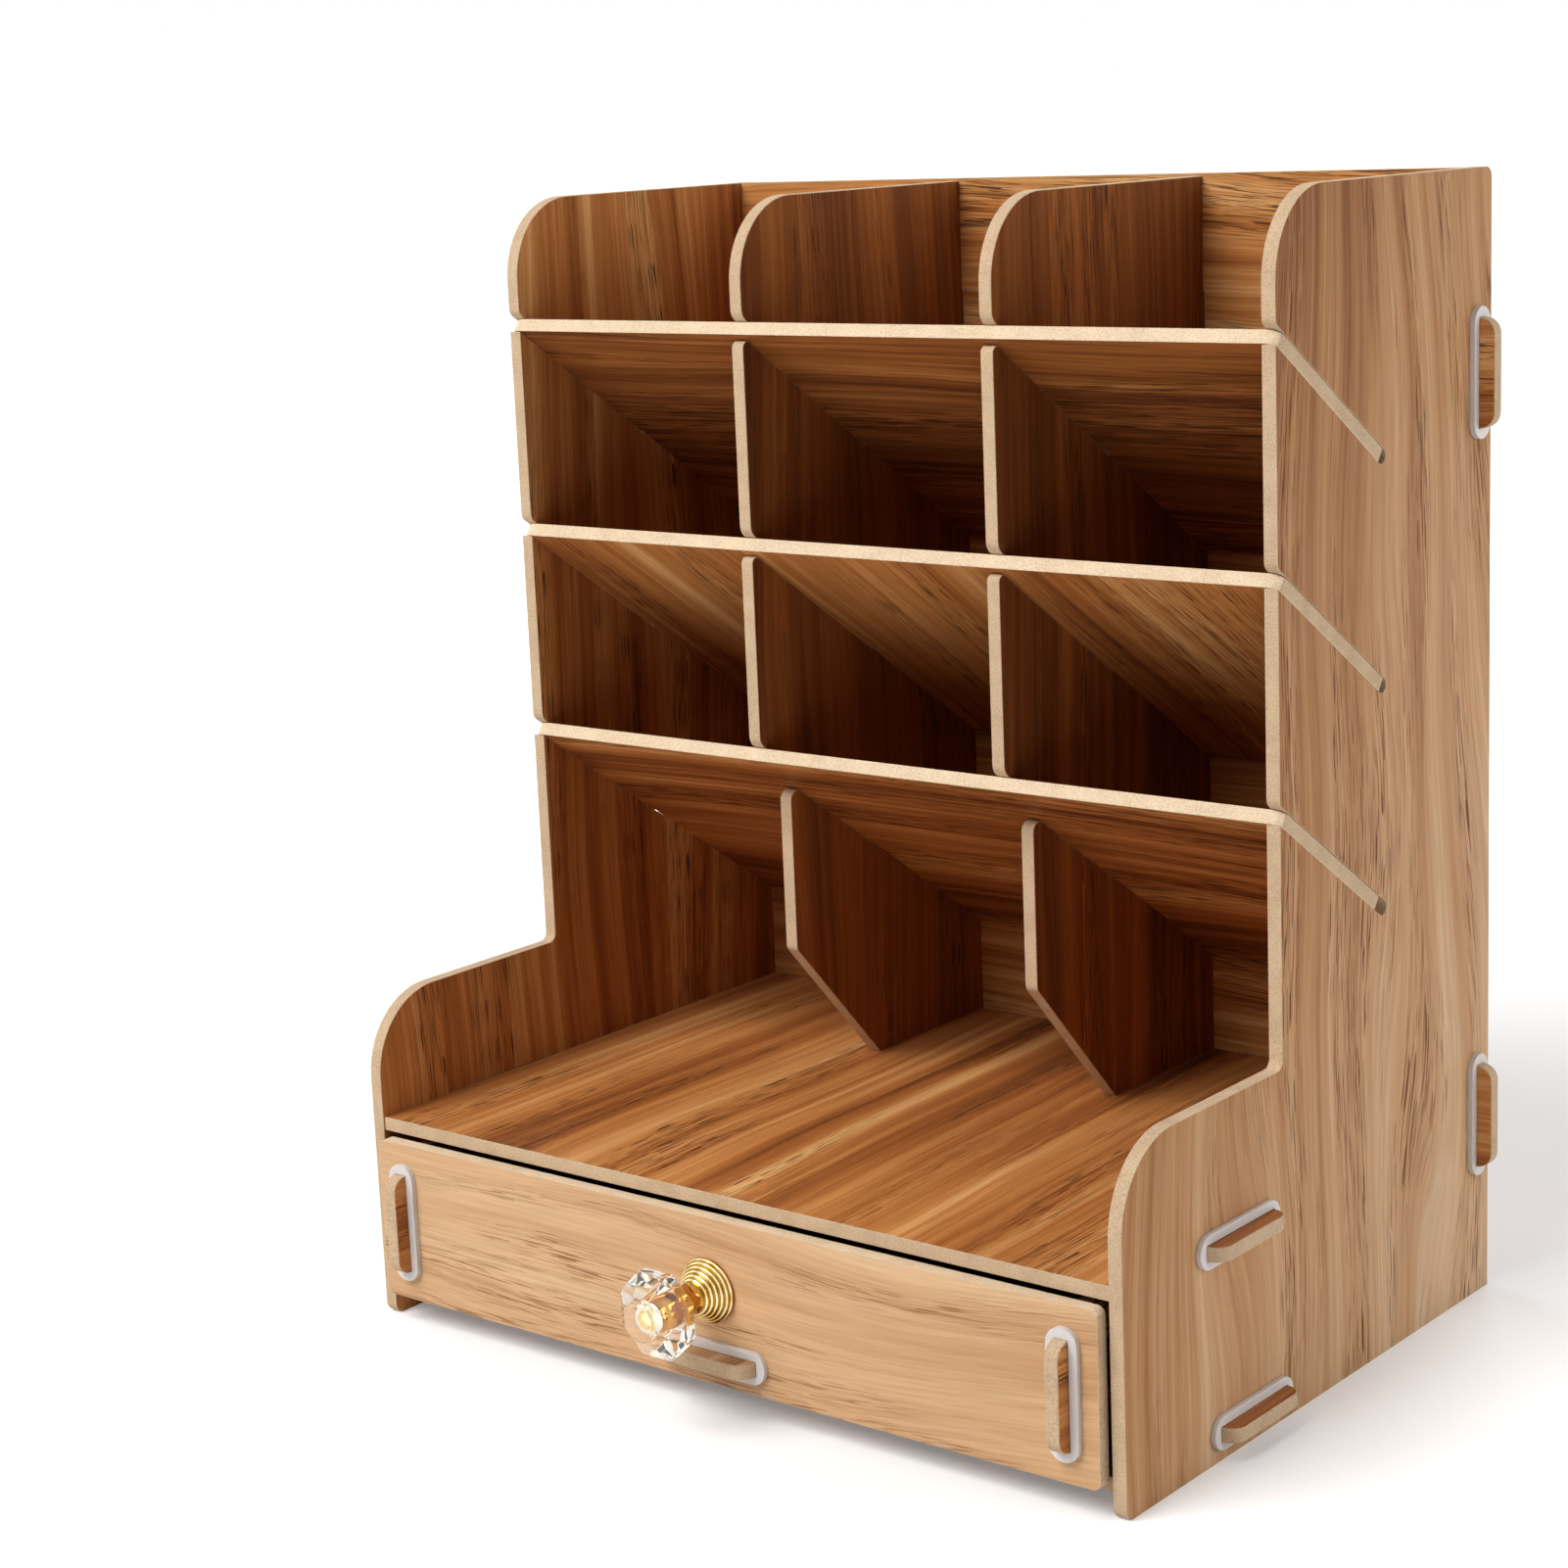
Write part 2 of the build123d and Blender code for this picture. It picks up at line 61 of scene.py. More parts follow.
# Printed wood: tones from the darkest streak to the palest band.
WARM_TONES = (
    (0.02, linear(69, 35, 17)),
    (0.26, linear(119, 67, 34)),
    (0.50, linear(164, 99, 50)),
    (0.74, linear(193, 129, 72)),
    (0.98, linear(217, 163, 104)),
)
# The plain tones are greyer than the warm ones, partly as a painted sheen matched to the right side
# panel.
PLAIN_TONES = (
    (0.02, linear(90, 44, 14)),
    (0.26, linear(134, 84, 45)),
    (0.50, linear(168, 119, 76)),
    (0.74, linear(190, 147, 106)),
    (0.98, linear(206, 172, 136)),
)
PALE_TONES = (
    (0.02, linear(140, 95, 60)),
    (0.26, linear(184, 140, 99)),
    (0.50, linear(204, 162, 121)),
    (0.74, linear(213, 174, 134)),
    (0.98, linear(221, 190, 154)),
)
MIDDLE_TONE = 0.5

# The two tones between which each of the other materials drifts.
RAW_PALE = linear(230, 207, 177)
RAW_DARK = linear(194, 168, 136)
# Painted shade: the raw edge's tones darkened, for cut edges that meet the key lamp less squarely.
SHADE_EDGE_PALE = linear(205, 178, 147)
SHADE_EDGE_DARK = linear(169, 141, 111)
RING_PALE = linear(250, 245, 242)
RING_DIM = linear(238, 232, 229)
# Painted highlight: the near-white tone in the gold's patches.
GOLD_HIGHLIGHT = linear(255, 246, 200)
GOLD_DEEP = linear(236, 190, 88)
# Painted reflection: the copper-brown of the wood mirrored in the gold flange side and neck.
WOOD_REFLECTION_BRIGHT = linear(208, 150, 68)
WOOD_REFLECTION_DEEP = linear(168, 108, 42)
# Painted shade: the darker gold in the grooves between the beads and above the flange.
SHADED_GROOVE_BRIGHT = linear(176, 132, 52)
SHADED_GROOVE_DEEP = linear(92, 64, 18)
FACE_BRIGHT = linear(252, 250, 244)
FACE_DEEP = linear(232, 228, 216)
CRYSTAL_CLEAR = linear(255, 255, 255)
# Painted reflection: the gold base's warm tint, mixed into the crystal in patches.
CRYSTAL_GOLD_REFLECTION = linear(255, 247, 222)
STEEL_BRIGHT = linear(200, 200, 202)
STEEL_DIM = linear(150, 150, 154)

# Noise lies round its mean, nearly all of it between the low and the high value.
NOISE_LOW = 0.3
NOISE_MEAN = 0.5
NOISE_HIGH = 0.7

# The colour sockets of Blender's Mix node, which share their names with others.
MIX_FIRST = 6
MIX_SECOND = 7
MIX_RESULT = 2


class Tree:
    """A material's node tree, with one short call for each kind of node."""

    def __init__(self, name):
        self.material = bpy.data.materials.new(name)
        self.material.use_nodes = True
        self.nodes = self.material.node_tree.nodes
        self.links = self.material.node_tree.links
        self.shader = self.nodes["Principled BSDF"]

    def feed(self, socket, value):
        """Links a socket to another node's output, or sets it to a plain value."""
        if isinstance(value, bpy.types.NodeSocket):
            self.links.new(value, socket)
        else:
            socket.default_value = value

    def place(self):
        return self.nodes.new("ShaderNodeTexCoord").outputs["Object"]

    def math(self, operation, *values):
        node = self.nodes.new("ShaderNodeMath")
        node.operation = operation
        for socket, value in zip(node.inputs, values):
            self.feed(socket, value)
        return node.outputs[0]

    def dot(self, vector, direction):
        node = self.nodes.new("ShaderNodeVectorMath")
        node.operation = "DOT_PRODUCT"
        self.feed(node.inputs[0], vector)
        node.inputs[1].default_value = direction
        return node.outputs["Value"]

    def length(self, vector):
        node = self.nodes.new("ShaderNodeVectorMath")
        node.operation = "LENGTH"
        self.feed(node.inputs[0], vector)
        return node.outputs["Value"]

    def point(self, *values):
        node = self.nodes.new("ShaderNodeCombineXYZ")
        for socket, value in zip(node.inputs, values):
            self.feed(socket, value)
        return node.outputs[0]

    def noise(self, vector, scale=1.0, detail=2.0, roughness=0.5):
        node = self.nodes.new("ShaderNodeTexNoise")
        self.feed(node.inputs["Vector"], vector)
        node.inputs["Scale"].default_value = scale
        node.inputs["Detail"].default_value = detail
        node.inputs["Roughness"].default_value = roughness
        return node.outputs["Fac"]

    def ramp(self, factor, stops):
        node = self.nodes.new("ShaderNodeValToRGB")
        elements = node.color_ramp.elements
        while len(elements) < len(stops):
            elements.new(0.5)
        for element, (position, colour) in zip(elements, stops):
            element.position = position
            element.color = colour
        self.feed(node.inputs["Fac"], factor)
        return node.outputs["Color"]

    def span(self, value, low, high, to_low=0.0, to_high=1.0):
        node = self.nodes.new("ShaderNodeMapRange")
        self.feed(node.inputs["Value"], value)
        node.inputs["From Min"].default_value = low
        node.inputs["From Max"].default_value = high
        node.inputs["To Min"].default_value = to_low
        node.inputs["To Max"].default_value = to_high
        return node.outputs["Result"]

    def uneven(self, noise, low, high):
        """A value that follows a noise, from low to high."""
        return self.span(noise, NOISE_LOW, NOISE_HIGH, low, high)

    def mix(self, factor, first, second, blend="MIX"):
        node = self.nodes.new("ShaderNodeMix")
        node.data_type = "RGBA"
        node.blend_type = blend
        self.feed(node.inputs["Factor"], factor)
        self.feed(node.inputs[MIX_FIRST], first)
        self.feed(node.inputs[MIX_SECOND], second)
        return node.outputs[MIX_RESULT]

    def bump(self, height, depth, strength):
        node = self.nodes.new("ShaderNodeBump")
        node.inputs["Strength"].default_value = strength
        node.inputs["Distance"].default_value = depth
        self.feed(node.inputs["Height"], height)
        self.feed(self.shader.inputs["Normal"], node.outputs["Normal"])

    def surface(self, **values):
        """Sets the shader's sockets by name, with underscores for the spaces."""
        for key, value in values.items():
            self.feed(self.shader.inputs[key.replace("_", " ")], value)
        return self.material


# How a board's print looks: the way the grain runs (None is down the sheet's
# slope), its tones, how strong its bands are, how much paler it is, how far
# its lines wander (m), where its growth lines close (across and along the
# grain, m), how strong its fine lines and ticks are, and how much it darkens
# across and along the grain (for each metre); that darkening is a painted sheen.
Print = namedtuple(
    "Print", "axis tones contrast lift wander heart fine fade", defaults=((0.0, 0.0),)
)

# The layers of noise in a print: how closely each is drawn across and along the
# grain (for each metre), and the noise's own detail and roughness.
Layer = namedtuple("Layer", "across along detail roughness", defaults=(0.5,))
SLOW_BENDS = Layer(11.0, 4.0, 1.0)
QUICK_BENDS = Layer(60.0, 12.0, 1.0)
BANDS = Layer(85.0, 0.9, 2.0)
DRIFT = Layer(26.0, 2.5, 1.0)
STRIPES = Layer(330.0, 4.0, 4.0, 0.72)
FIBRE = Layer(1500.0, 40.0, 2.0, 0.6)
CLUSTERS = Layer(60.0, 5.0, 2.0)
THREADS = Layer(900.0, 16.0, 1.0)
TICKS = Layer(3000.0, 80.0, 0.0)

# How much of each layer shows. The print changes with depth into the sheet, so
# that a board's two faces differ, and its growth lines are drawn out endways.
DEPTH_CHANGE = 40.0
QUICK_WANDER = 0.003
ENDWAYS = 0.14
BAND_GAIN = 1.8
DRIFT_GAIN = 1.1
STRIPE_GAIN = 1.5
FIBRE_LEAST = 0.05
FIBRE_GAIN = 0.12
FIBRE_PALER = 0.6
CLUSTER_START = 0.60
CLUSTER_GAIN = 0.18
CLUSTER_RISE = 0.1
MARK_STRENGTH = 0.85
MARK_ROUGHNESS = 0.2


def laminate(name, normal, along, look, seed):
    """Satin wood-print sheet: smooth bands round a heart, with thin threads, short ticks and fibre."""
    tree = Tree(name)
    place = tree.place()
    across_m = tree.dot(place, normal.cross(along))
    along_m = tree.dot(place, along)
    inward = tree.math("MULTIPLY_ADD", tree.dot(place, normal), DEPTH_CHANGE, seed)

    def grain(line, layer):
        first = tree.math("MULTIPLY", line, layer.across)
        second = tree.math("MULTIPLY", along_m, layer.along)
        spot = tree.point(first, second, inward)
        return tree.noise(spot, detail=layer.detail, roughness=layer.roughness)

    def sway(line, layer):
        return tree.math("SUBTRACT", grain(line, layer), NOISE_MEAN)

    line = tree.math("MULTIPLY_ADD", sway(across_m, SLOW_BENDS), look.wander, across_m)
    line = tree.math("MULTIPLY_ADD", sway(across_m, QUICK_BENDS), QUICK_WANDER, line)
    heart_across, heart_along = look.heart
    off_line = tree.math("SUBTRACT", line, heart_across)
    off_end = tree.math("MULTIPLY", tree.math("SUBTRACT", along_m, heart_along), ENDWAYS)
    growth = tree.length(tree.point(off_line, off_end, 0.0))

    tone = tree.math("MULTIPLY", sway(growth, BANDS), BAND_GAIN)
    tone = tree.math("MULTIPLY_ADD", sway(across_m, DRIFT), DRIFT_GAIN, tone)
    tone = tree.math("MULTIPLY_ADD", tone, look.contrast, MIDDLE_TONE + look.lift)
    tone = tree.math("MULTIPLY_ADD", sway(line, STRIPES), STRIPE_GAIN * look.fine, tone)
    # Painted sheen: a board with a fade grows paler along these directions.
    for distance, fade in zip((across_m, along_m), look.fade):
        tone = tree.math("MULTIPLY_ADD", distance, -fade, tone)
    colour = tree.ramp(tone, look.tones)

    fibre = grain(line, FIBRE)
    depth = FIBRE_LEAST + FIBRE_GAIN * look.fine
    darker = 1.0 - depth
    paler = 1.0 + FIBRE_PALER * depth
    shade = tree.span(fibre, low=0.36, high=0.64, to_low=darker, to_high=paler)
    colour = tree.mix(1.0, colour, tree.point(shade, shade, shade), "MULTIPLY")

    start = CLUSTER_START - CLUSTER_GAIN * look.fine
    cluster = tree.span(grain(growth, CLUSTERS), low=start, high=start + CLUSTER_RISE)
    thread = tree.span(grain(line, THREADS), low=0.60, high=0.66, to_high=look.fine)
    tick = tree.span(grain(line, TICKS), low=0.60, high=0.64)
    mark = tree.math("MULTIPLY", tree.math("MAXIMUM", thread, tick), cluster)
    darkest = look.tones[0][1]
    colour = tree.mix(tree.math("MULTIPLY", mark, MARK_STRENGTH), colour, darkest)

    smudge = tree.uneven(tree.noise(place, scale=45.0, detail=3.0), low=0.32, high=0.44)
    rough = tree.math("MULTIPLY_ADD", mark, MARK_ROUGHNESS, smudge)
    tree.bump(tree.math("SUBTRACT", fibre, mark), depth=0.00004, strength=0.6)
    return tree.surface(Base_Color=colour, Roughness=rough, Specular_IOR_Level=0.08)


SPECK_SHARE = 0.8


def raw_edge(name, dark, pale):
    """Bare fibreboard where a sheet is cut: matt, with fine speckle and slow stains."""
    tree = Tree(name)
    place = tree.place()
    speck = tree.noise(place, scale=2200.0, detail=4.0, roughness=0.75)
    cloud = tree.noise(place, scale=140.0, detail=3.0)
    stain = tree.math("MULTIPLY", cloud, 1.0 - SPECK_SHARE)
    tone = tree.math("MULTIPLY_ADD", speck, SPECK_SHARE, stain)
    colour = tree.ramp(tone, ((0.36, dark), (0.58, pale)))
    rough = tree.uneven(cloud, low=0.78, high=0.92)
    tree.bump(speck, depth=0.00012, strength=0.7)
    return tree.surface(Base_Color=colour, Roughness=rough, Specular_IOR_Level=0.1)


def ring_plastic(name):
    """Soft milky plastic of the lock rings, a little see-through."""
    tree = Tree(name)
    place = tree.place()
    cloud = tree.noise(place, scale=320.0, detail=3.0)
    colour = tree.mix(cloud, RING_DIM, RING_PALE)
    rough = tree.uneven(cloud, low=0.30, high=0.42)
    tree.bump(tree.noise(place, scale=900.0, detail=2.0), depth=0.00005, strength=0.5)
    return tree.surface(
        Base_Color=colour, Roughness=rough, Transmission_Weight=0.3, IOR=1.45
    )


def plated_metal(name, deep, bright, low_rough, high_rough):
    """Polished plate whose tone drifts in patches, with faint handling marks; on the knob's gold the
    colours are painted highlights, painted reflection and painted shade.
    """
    tree = Tree(name)
    place = tree.place()
    drift = tree.span(tree.noise(place, scale=190.0, detail=2.0), low=0.36, high=0.60)
    colour = tree.mix(drift, deep, bright)
    rough = tree.uneven(tree.noise(place, scale=900.0, detail=4.0), low_rough, high_rough)
    return tree.surface(Base_Color=colour, Metallic=1.0, Roughness=rough)


def clear_crystal(name):
    """Clear cast acrylic with faint smears on the polished facets, tinted warm in patches as a painted
    reflection of the gold base.
    """
    tree = Tree(name)
    place = tree.place()
    smear = tree.noise(place, scale=420.0, detail=3.0)
    rough = tree.span(smear, low=0.4, high=0.7, to_low=0.0, to_high=0.02)
    # Painted reflection: warm patches standing in for the gold seen in the facets.
    glow = tree.span(tree.noise(place, scale=240.0, detail=2.0), low=0.46, high=0.58)
    colour = tree.mix(glow, CRYSTAL_CLEAR, CRYSTAL_GOLD_REFLECTION)
    return tree.surface(
        Base_Color=colour, Roughness=rough, Transmission_Weight=0.94, IOR=1.4
    )


FACING_DIGITS = 2


def sheet_normal(node):
    """The direction that most of a board's surface faces."""
    totals = {}
    for polygon in node.data.polygons:
        facing = polygon.normal
        if max(facing, key=abs) < 0.0:
            facing = -facing
        key = tuple(round(part, FACING_DIGITS) for part in facing)
        total = totals.setdefault(key, Vector())
        total += facing * polygon.area
    return max(totals.values(), key=lambda total: total.length).normalized()


# Softened edges of the cut boards and the moulded rings (metres and radians).
BOARD_EDGE = 0.00025
RING_EDGE = 0.0002
EDGE_SEGMENTS = 2
EDGE_ANGLE = math.radians(40.0)
FLAT_ANGLE = math.radians(0.5)
WELD_REACH = 0.000002
SLOT_BESIDE = -1


def soften(node, width, edge_slot=SLOT_BESIDE):
    """Rounds a node's sharp edges, the way sanding, moulding and handling do."""
    weld = node.modifiers.new("weld", "WELD")
    weld.merge_threshold = WELD_REACH
    flatten = node.modifiers.new("flatten", "DECIMATE")
    flatten.decimate_type = "DISSOLVE"
    flatten.angle_limit = FLAT_ANGLE
    flatten.delimit = {"MATERIAL"}
    bevel = node.modifiers.new("bevel", "BEVEL")
    bevel.width = width
    bevel.segments = EDGE_SEGMENTS
    bevel.limit_method = "ANGLE"
    bevel.angle_limit = EDGE_ANGLE
    bevel.material = edge_slot
    shade = node.modifiers.new("shade", "WEIGHTED_NORMAL")
    shade.keep_sharp = False


def dress(node, *materials):
    node.data.materials.clear()
    for material in materials:
        node.data.materials.append(material)


# Each board's axis, tones, contrast, lift, wander, heart, fine and, on one, fade.
BOARDS = {
    "side_panel_left": Print(Z_AXIS, WARM_TONES, 0.7, 0.18, 0.04, (0.16, 0.30), 0.65),
    # The right side panel's fade is a painted sheen, paler towards its lower back; its lift is partly
    # painted sheen too.
    "side_panel_right": Print(
        Z_AXIS, PLAIN_TONES, 0.42, 0.23, 0.07, (0.14, 0.10), 0.5, (2.5, 1.3)
    ),
    "divider_left": Print(Z_AXIS, WARM_TONES, 0.35, -0.13, 0.03, (0.30, 0.10), 0.45),
    "divider_right": Print(Z_AXIS, WARM_TONES, 0.35, -0.13, 0.03, (0.34, 0.20), 0.45),
    "back_panel": Print(X_AXIS, WARM_TONES, 0.6, 0.14, 0.035, (0.20, 0.05), 0.9),
    "shelf_lower": Print(X_AXIS, WARM_TONES, 0.65, 0.03, 0.04, (0.30, 0.20), 0.8),
    "shelf_middle": Print(None, WARM_TONES, 0.55, 0.18, 0.03, (0.25, 0.30), 0.65),
    "shelf_upper": Print(X_AXIS, WARM_TONES, 0.35, -0.07, 0.04, (0.30, -0.20), 0.85),
    "deck_panel": Print(Y_AXIS, WARM_TONES, 0.85, 0.13, 0.03, (-0.10, -0.05), 0.6),
    "bottom_panel": Print(Y_AXIS, WARM_TONES, 0.7, 0.0, 0.03, (0.10, 0.0), 0.7),
    "drawer_front": Print(X_AXIS, PALE_TONES, 0.55, 0.05, 0.04, (0.06, -0.12), 0.35),
    "drawer_back": Print(X_AXIS, WARM_TONES, 0.7, 0.05, 0.03, (0.06, 0.10), 0.7),
    "drawer_side_left": Print(Y_AXIS, WARM_TONES, 0.7, 0.05, 0.03, (0.06, 0.0), 0.7),
    "drawer_side_right": Print(Y_AXIS, WARM_TONES, 0.7, 0.05, 0.03, (0.06, 0.05), 0.7),
    "drawer_floor": Print(Y_AXIS, PLAIN_TONES, 0.7, 0.1, 0.03, (0.12, 0.05), 0.7),
}
# Boards whose cut edges all take the darker edge tone, a painted shade. On the others only the ends
# do.
SHADE_EDGE_BOARDS = (
    "side_panel_left", "side_panel_right", "divider_left", "divider_right",
    "back_panel", "deck_panel", "bottom_panel",
    "drawer_side_left", "drawer_side_right", "drawer_floor",
)
PRINT_SLOT, RAW_SLOT, SHADE_EDGE_SLOT = range(3)
SEED_STEP = 7.3

# A face is print where it faces as its sheet does, and an end where it faces along X (cosines).
PRINT_FACING = 0.99
END_FACING = 0.9

raw_material = raw_edge("raw_edge", RAW_DARK, RAW_PALE)
# Painted shade: a darker copy of the bare fibreboard edge.
shade_edge_material = raw_edge("raw_edge_painted_shade", SHADE_EDGE_DARK, SHADE_EDGE_PALE)
for index, (board, look) in enumerate(BOARDS.items()):
    node = nodes[board]
    normal = sheet_normal(node)
    along = look.axis if look.axis is not None else normal.cross(X_AXIS)
    print_material = laminate("laminate_" + board, normal, along, look, index * SEED_STEP)
    dress(node, print_material, raw_material, shade_edge_material)
    # Painted shade: on these boards every cut edge, bevels included, takes the darker edge tone.
    edge_slot = SHADE_EDGE_SLOT if board in SHADE_EDGE_BOARDS else RAW_SLOT
    for polygon in node.data.polygons:
        if abs(polygon.normal.dot(normal)) > PRINT_FACING:
            polygon.material_index = PRINT_SLOT
        # On every board the ends facing along X take the darker edge tone.
        elif abs(polygon.normal.x) > END_FACING:
            polygon.material_index = SHADE_EDGE_SLOT
        else:
            polygon.material_index = edge_slot
    soften(node, BOARD_EDGE, edge_slot)

ring_material = ring_plastic("ring_plastic")
for name, node in nodes.items():
    if name.startswith("ring_"):
        dress(node, ring_material)
        soften(node, RING_EDGE)
steel_material = plated_metal(
    "screw_steel", STEEL_DIM, STEEL_BRIGHT, low_rough=0.25, high_rough=0.45
)
dress(nodes["knob_screw"], steel_material)

# Knob: a turned gold base, and an eight-sided crystal cast over its insert (metres).
FLANGE_RISE = 0.0013
FLANGE_EDGE = 0.0003
BEADS = 5
BEAD_RISE = 0.00105
BEAD_FIRST = 0.0084
BEAD_LAST = 0.0050
BEAD_STEPS = 8
BEAD_SWEEP = math.radians(150.0)
NECK_RADIUS = 0.0040
NECK_WAIST = 0.0036
NECK_EDGE = 0.0005
DISC_RADIUS = 0.0026
DISC_RISE = 0.0006
TURNED_STEPS = 64
# Material slots of the turned gold: painted highlights, painted wood reflection, painted groove shade,
# and the insert's face.
BRIGHT, DEEP, GROOVE, FACE = range(4)
CRYSTAL_SIDES = 8
CRYSTAL_TURN = 0.5
CRYSTAL_BACK = 0.005
CRYSTAL_GIRDLE = 0.003
CRYSTAL_TABLE = 0.0056
CRYSTAL_SEAT = 0.0048
CRYSTAL_EDGE = 0.00012
FACET_ANGLE = math.radians(20.0)
WINDOW_FOOT = 0.0052
WINDOW_TOP = 0.0044
WINDOW_RISE = 0.0007
WINDOW_STEPS = 4


def ring_of(mesh, centre, radius, depth, count, turn=0.0):
    """A ring of vertices round the knob's axis, depth behind the centre, turned by some steps."""
    made = []
    for step in range(count):
        angle = 2.0 * math.pi * (step + turn) / count
        offset = Vector((radius * math.cos(angle), depth, radius * math.sin(angle)))
        made.append(mesh.verts.new(centre + offset))
    return made


def band(mesh, first, second, smooth=False, slot=0):
    """Quads between two rings of the same count."""
    for step in range(len(first)):
        after = (step + 1) % len(first)
        face = mesh.faces.new((first[step], first[after], second[after], second[step]))
        face.smooth = smooth
        face.material_index = slot


def fan(mesh, coarse, fine):
    """Faces of a flat ring between a coarse polygon and a finer round edge."""
    share = len(fine) // len(coarse)
    for side in range(len(coarse)):
        after = (side + 1) % len(coarse)
        arc = [fine[(side * share + step) % len(fine)] for step in range(share + 1)]
        mesh.faces.new((coarse[side], coarse[after], *reversed(arc)))


def new_piece(name, mesh, body, slot_name, *materials):
    bmesh.ops.recalc_face_normals(mesh, faces=mesh.faces[:])
    data = bpy.data.meshes.new(name)
    mesh.to_mesh(data)
    mesh.free()
    for material in materials:
        data.materials.append(material)
    piece = bpy.data.objects.new(name, data)
    bpy.context.scene.collection.objects.link(piece)
    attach(piece, body)
    return piece


base_low, base_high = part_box("knob_base")
base_centre = (base_low + base_high) / 2.0
base_centre.y = base_high.y
flange_radius = (base_high.x - base_low.x) / 2.0

crystal_low, crystal_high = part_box("knob_crystal")
crystal_length = crystal_high.y - crystal_low.y
neck_end = base_high.y - crystal_high.y
insert_end = base_high.y - base_low.y
face_out = insert_end - DISC_RISE

# The turned profile: radius, distance out from the drawer, and the finish from there on, in which
# light is painted: highlights, a wood reflection on the flange side and neck, and groove shade.
turned = [
    (flange_radius - FLANGE_EDGE, 0.0, DEEP),
    (flange_radius, FLANGE_EDGE, DEEP),
    (flange_radius, FLANGE_RISE - FLANGE_EDGE, BRIGHT),
    (flange_radius - FLANGE_EDGE, FLANGE_RISE, GROOVE),
]
bead_half = BEAD_RISE / 2.0
for bead in range(BEADS):
    bead_radius = BEAD_FIRST + (BEAD_LAST - BEAD_FIRST) * bead / (BEADS - 1)
    bead_middle = FLANGE_RISE + bead * BEAD_RISE + bead_half
    for step in range(BEAD_STEPS + 1):
        angle = BEAD_SWEEP * (step / BEAD_STEPS - 0.5)
        radius = bead_radius - bead_half + bead_half * math.cos(angle)
        # The valleys at each bead's two ends take painted groove shade; the crests take the gold with
        # painted highlights.
        finish_and_painted_light = BRIGHT if 0 < step < BEAD_STEPS else GROOVE
        turned.append((radius, bead_middle + bead_half * math.sin(angle), finish_and_painted_light))
neck_start = FLANGE_RISE + BEADS * BEAD_RISE
turned += [
    (NECK_RADIUS, neck_start + NECK_EDGE, DEEP),
    (NECK_WAIST, (neck_start + neck_end) / 2.0, DEEP),
    (NECK_RADIUS, neck_end - NECK_EDGE, DEEP),
    (NECK_RADIUS, face_out - NECK_EDGE, FACE),
    (NECK_RADIUS - NECK_EDGE, face_out, FACE),
    (DISC_RADIUS, face_out, BRIGHT),
    (DISC_RADIUS - DISC_RISE, insert_end, BRIGHT),
]
gold = bmesh.new()
gold_rings = [ring_of(gold, base_centre, radius, -out, TURNED_STEPS) for radius, out, _ in turned]
gold.faces.new(gold_rings[0])
for first, second, (_, _, finish_and_painted_light) in zip(gold_rings, gold_rings[1:], turned):
    band(gold, first, second, smooth=True, slot=finish_and_painted_light)
gold.faces.new(gold_rings[-1])
# Its materials, in slot order, carry painted highlights, a painted wood reflection and painted groove
# shade, then the insert's face.
knob_gold = new_piece(
    "knob_gold", gold, "drawer", "knob_gold",
    plated_metal("gold_painted_highlights", GOLD_DEEP, GOLD_HIGHLIGHT, low_rough=0.04, high_rough=0.09),
    plated_metal("gold_painted_wood_reflection", WOOD_REFLECTION_DEEP, WOOD_REFLECTION_BRIGHT, low_rough=0.06, high_rough=0.12),
    plated_metal("gold_painted_groove_shade", SHADED_GROOVE_DEEP, SHADED_GROOVE_BRIGHT, low_rough=0.2, high_rough=0.35),
    plated_metal("insert_face", FACE_DEEP, FACE_BRIGHT, low_rough=0.1, high_rough=0.2),
)
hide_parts("knob_base")

table_centre = (crystal_low + crystal_high) / 2.0
table_centre.y = crystal_low.y
flat_radius = (crystal_high.x - crystal_low.x) / 2.0
to_corner = 1.0 / math.cos(math.pi / CRYSTAL_SIDES)
crystal_front = crystal_length - CRYSTAL_BACK - CRYSTAL_GIRDLE

gem = bmesh.new()
gem_rings = [
    ring_of(gem, table_centre, flat * to_corner, depth, CRYSTAL_SIDES, CRYSTAL_TURN)
    for flat, depth in (
        (CRYSTAL_TABLE, WINDOW_RISE),
        (flat_radius, crystal_front),
        (flat_radius, crystal_front + CRYSTAL_GIRDLE),
        (CRYSTAL_SEAT, crystal_length),
    )
]
window_count = CRYSTAL_SIDES * WINDOW_STEPS
window_turn = CRYSTAL_TURN * WINDOW_STEPS
window_foot = ring_of(gem, table_centre, WINDOW_FOOT, WINDOW_RISE, window_count, window_turn)
window_top = ring_of(gem, table_centre, WINDOW_TOP, 0.0, window_count, window_turn)
gem.faces.new(window_top)
band(gem, window_top, window_foot)
fan(gem, gem_rings[0], window_foot)
for first, second in zip(gem_rings, gem_rings[1:]):
    band(gem, first, second)
gem.faces.new(gem_rings[-1])
crystal = new_piece("crystal", gem, "drawer", "knob_crystal", clear_crystal("clear_crystal"))
facet_edges = crystal.modifiers.new("edges", "BEVEL")
facet_edges.width = CRYSTAL_EDGE
facet_edges.segments = 1
facet_edges.limit_method = "ANGLE"
facet_edges.angle_limit = FACET_ANGLE
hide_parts("knob_crystal")

